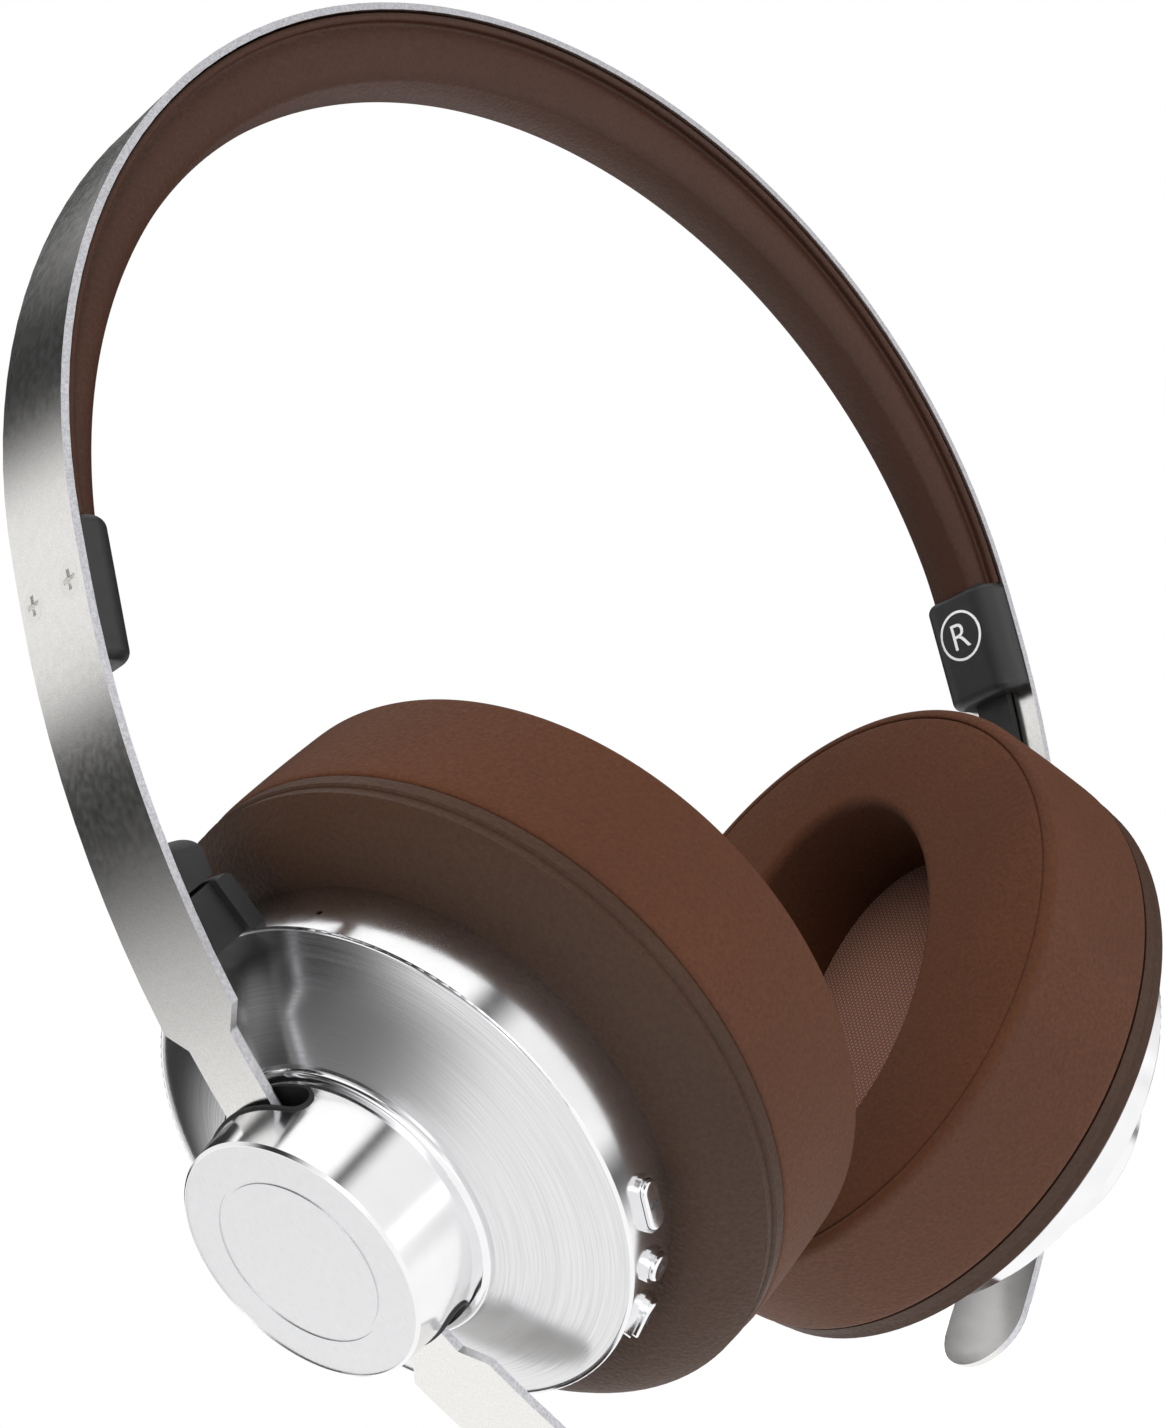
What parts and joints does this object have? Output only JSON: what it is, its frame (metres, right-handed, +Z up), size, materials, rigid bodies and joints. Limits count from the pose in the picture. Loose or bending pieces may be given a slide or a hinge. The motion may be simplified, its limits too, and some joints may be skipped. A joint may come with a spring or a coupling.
{
  "type": "over-ear headphones",
  "caption": "Over-ear headphones with a padded spring-steel headband, sliding chrome-backed cups, leather ear cushions and push buttons on one cup.",
  "frame": {"origin": "crown of the head under the middle of the headband pad", "axes": "+Z up, +X towards the wearer's right ear, +Y towards the front of the head"},
  "size_m": [0.1764, 0.0904, 0.2062],
  "materials": {
    "band_steel": "satin spring steel with blasted edges",
    "pad_leather": "soft brown leather",
    "black_plastic": "fine moulded texture",
    "screw_steel": "plated steel",
    "black_lead": "flat moulded lead",
    "carriage_nylon": "self-lubricating nylon",
    "link_steel": "thin spring steel",
    "polished_chrome": "polished",
    "slot_rubber": "satin black",
    "face_satin": "fine satin",
    "spun_steel": "brushed in circles",
    "cup_leather": "smooth brown leather over a moulded shell",
    "cushion_leather": "soft brown leather, fine grain",
    "woven_screen": "brown woven mesh",
    "bush_brass": "turned",
    "basket_plastic": "moulded",
    "magnet_plating": "nickel plated",
    "diaphragm_film": "thin film",
    "button_chrome": "polished",
    "board": "laminate",
    "battery_wrap": "shrink wrap",
    "socket_black": "moulded",
    "socket_steel": "drawn shell"
  },
  "bodies": {
    "headband": {"strap": "band_steel", "headband_pad": "pad_leather", "end_cap_left": "black_plastic", "end_cap_right": "black_plastic", "cap_screws_left": "screw_steel", "cap_screws_right": "screw_steel"},
    "slider_left": {"guide_block_left": "carriage_nylon", "guide_cover_left": "carriage_nylon", "brake_pad_left": "carriage_nylon", "slider_tongue_left": "link_steel", "slider_shoe_left": "black_plastic", "flat_lead_left": "black_lead", "pivot_screw_left": "screw_steel"},
    "cup_left": {"boss_shell_left": "polished_chrome", "slot_liners_left": "slot_rubber", "face_disc_left": "face_satin", "base_ring_left": "polished_chrome", "back_plate_left": "spun_steel", "housing_wall_left": "polished_chrome", "lead_grommet_left": "black_plastic", "collar_left": "cup_leather", "baffle_left": "black_plastic", "baffle_screws_left": "screw_steel", "pivot_bush_left": "bush_brass", "driver_frame_left": "basket_plastic", "driver_magnet_left": "magnet_plating", "diaphragm_left": "diaphragm_film", "ear_cushion_left": "cushion_leather", "ear_screen_left": "woven_screen", "switch_board": "board", "main_board": "board"},
    "slider_right": {"guide_block_right": "carriage_nylon", "guide_cover_right": "carriage_nylon", "brake_pad_right": "carriage_nylon", "slider_tongue_right": "link_steel", "slider_shoe_right": "black_plastic", "flat_lead_right": "black_lead", "pivot_screw_right": "screw_steel"},
    "cup_right": {"boss_shell_right": "polished_chrome", "slot_liners_right": "slot_rubber", "face_disc_right": "face_satin", "base_ring_right": "polished_chrome", "back_plate_right": "spun_steel", "housing_wall_right": "polished_chrome", "lead_grommet_right": "black_plastic", "collar_right": "cup_leather", "baffle_right": "black_plastic", "baffle_screws_right": "screw_steel", "pivot_bush_right": "bush_brass", "driver_frame_right": "basket_plastic", "driver_magnet_right": "magnet_plating", "diaphragm_right": "diaphragm_film", "ear_cushion_right": "cushion_leather", "ear_screen_right": "woven_screen", "battery": "battery_wrap", "jack_socket": "socket_black", "usb_socket": "socket_steel"},
    "button_volume_up": {"button_volume_up": "button_chrome"},
    "button_play": {"button_play": "button_chrome"},
    "button_volume_down": {"button_volume_down": "button_chrome"}
  },
  "joints": [
    {"name": "cup_slide_left", "type": "hinge", "parent": "headband", "child": "slider_left", "pos_m": [0.0638, 0, -0.0837], "axis": [0, 1, 0], "range_deg": [-1.5, 7.8]},
    {"name": "cup_swivel_left", "type": "hinge", "parent": "slider_left", "child": "cup_left", "pos_m": [-0.05629, 0, -0.15643], "axis": [-0.8554, 0, -0.518], "range_deg": [-5, 5]},
    {"name": "cup_slide_right", "type": "hinge", "parent": "headband", "child": "slider_right", "pos_m": [-0.0638, 0, -0.0837], "axis": [0, -1, 0], "range_deg": [-1.5, 7.8]},
    {"name": "cup_swivel_right", "type": "hinge", "parent": "slider_right", "child": "cup_right", "pos_m": [0.05629, 0, -0.15643], "axis": [0.8554, 0, -0.518], "range_deg": [-5, 5]},
    {"name": "press_volume_up", "type": "slide", "parent": "cup_left", "child": "button_volume_up", "axis": [-0.2432, 0.8829, 0.4016], "range_m": [0, 0.0006], "stiffness_N_per_m": 900, "springref_m": -0.0005},
    {"name": "press_play", "type": "slide", "parent": "cup_left", "child": "button_play", "axis": [-0.3566, 0.7254, 0.5888], "range_m": [0, 0.0006], "stiffness_N_per_m": 900, "springref_m": -0.0005},
    {"name": "press_volume_down", "type": "slide", "parent": "cup_left", "child": "button_volume_down", "axis": [-0.444, 0.515, 0.7332], "range_m": [0, 0.0006], "stiffness_N_per_m": 900, "springref_m": -0.0005}
  ]
}
